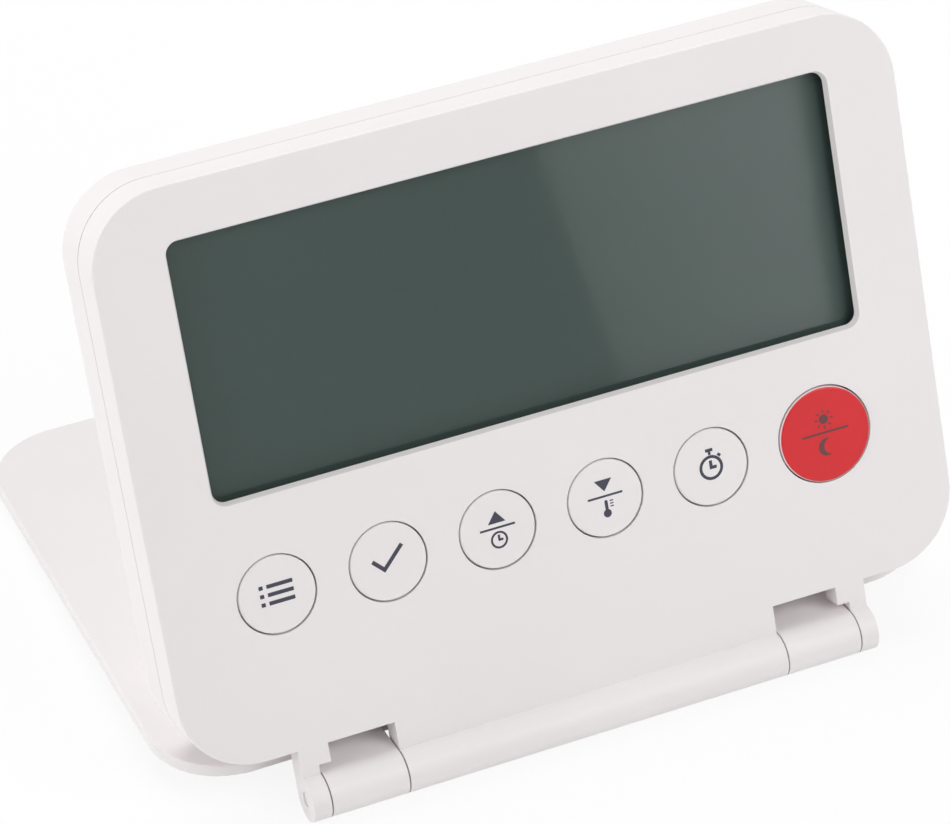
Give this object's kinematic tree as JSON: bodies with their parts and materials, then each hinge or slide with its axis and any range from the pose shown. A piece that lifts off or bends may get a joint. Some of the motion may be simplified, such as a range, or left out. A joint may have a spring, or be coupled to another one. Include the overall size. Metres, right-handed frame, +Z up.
{
  "type": "folding digital alarm clock",
  "caption": "Folding digital travel clock with a wide blank display, a row of round press buttons and a hinged cover that swings behind it as its stand.",
  "frame": {"origin": "middle of the bounding box, on the table the clock stands on", "axes": "+Z up; +X along the hinge, to the right of someone facing the display; the display faces -Y and up"},
  "size_m": [0.1312, 0.1078, 0.0962],
  "materials": {
    "case_front": "fine satin moulding",
    "case_rear": "fine satin moulding",
    "case_door": "fine satin moulding",
    "cover": "fine satin moulding",
    "button_white": "satin with printed signs",
    "button_red": "red top with printed signs on a white cap",
    "lens": "clear polished acrylic",
    "tape": "black adhesive",
    "lcd_film": "grey-green polarising film, display off",
    "lcd_glass": "clear",
    "lcd_reflector": "silvery film",
    "strip_rubber": "layered conducting rubber",
    "guide_acrylic": "milky acrylic",
    "led": "moulded",
    "frame_plastic": "moulded",
    "board": "green solder mask",
    "resin": "black resin drop",
    "crystal_can": "drawn can",
    "capacitor_sleeve": "shrunk sleeve",
    "thermistor_bead": "dipped resin",
    "buzzer_shell": "moulded",
    "switch_body": "moulded",
    "plunger": "moulded",
    "cell_jacket": "printed jacket",
    "contact_nickel": "nickel-plated strip",
    "screw_steel": "zinc-plated",
    "sign_ink": "printed signs on the buttons",
    "pin_plastic": "moulded"
  },
  "bodies": {
    "clock": {"front_case": "case_front", "rear_case": "case_rear", "hinge_pins": "pin_plastic", "window_lens": "lens", "lens_tape": "tape", "front_film": "lcd_film", "front_glass": "lcd_glass", "rear_glass": "lcd_glass", "rear_film": "lcd_reflector", "contact_strip": "strip_rubber", "light_guide": "guide_acrylic", "backlight_leds": "led", "display_frame": "frame_plastic", "main_board": "board", "chip_cover": "resin", "clock_crystal": "crystal_can", "capacitor": "capacitor_sleeve", "thermistor": "thermistor_bead", "buzzer": "buzzer_shell", "switch_bases": "switch_body", "battery_left": "cell_jacket", "battery_right": "cell_jacket", "positive_contact": "contact_nickel", "negative_contact": "contact_nickel", "case_screws": "screw_steel", "board_screws": "screw_steel"},
    "cover": {"stand_cover": "cover"},
    "door": {"battery_door": "case_door"},
    "mode_key": {"mode_button": "button_white", "mode_plunger": "plunger"},
    "set_key": {"set_button": "button_white", "set_plunger": "plunger"},
    "up_key": {"up_button": "button_white", "up_plunger": "plunger"},
    "down_key": {"down_button": "button_white", "down_plunger": "plunger"},
    "timer_key": {"timer_button": "button_white", "timer_plunger": "plunger"},
    "snooze_key": {"snooze_button": "button_red", "snooze_plunger": "plunger"}
  },
  "joints": [
    {"name": "stand_hinge", "type": "hinge", "parent": "clock", "child": "cover", "pos_m": [0, -0.05026, 0.0036], "axis": [-1, 0, 0], "range_deg": [0, 288.53]},
    {"name": "battery_door_hinge", "type": "hinge", "parent": "clock", "child": "door", "pos_m": [0, -0.03284, 0.00967], "axis": [-1, 0, 0], "range_deg": [0, 50]},
    {"name": "mode_press", "type": "slide", "parent": "clock", "child": "mode_key", "axis": [0, 0.9338, -0.3578], "range_m": [0, 0.0005], "stiffness_N_per_m": 800, "springref_m": -0.001},
    {"name": "set_press", "type": "slide", "parent": "clock", "child": "set_key", "axis": [0, 0.9338, -0.3578], "range_m": [0, 0.0005], "stiffness_N_per_m": 800, "springref_m": -0.001},
    {"name": "up_press", "type": "slide", "parent": "clock", "child": "up_key", "axis": [0, 0.9338, -0.3578], "range_m": [0, 0.0005], "stiffness_N_per_m": 800, "springref_m": -0.001},
    {"name": "down_press", "type": "slide", "parent": "clock", "child": "down_key", "axis": [0, 0.9338, -0.3578], "range_m": [0, 0.0005], "stiffness_N_per_m": 800, "springref_m": -0.001},
    {"name": "timer_press", "type": "slide", "parent": "clock", "child": "timer_key", "axis": [0, 0.9338, -0.3578], "range_m": [0, 0.0005], "stiffness_N_per_m": 800, "springref_m": -0.001},
    {"name": "snooze_press", "type": "slide", "parent": "clock", "child": "snooze_key", "axis": [0, 0.9338, -0.3578], "range_m": [0, 0.0005], "stiffness_N_per_m": 800, "springref_m": -0.001}
  ]
}
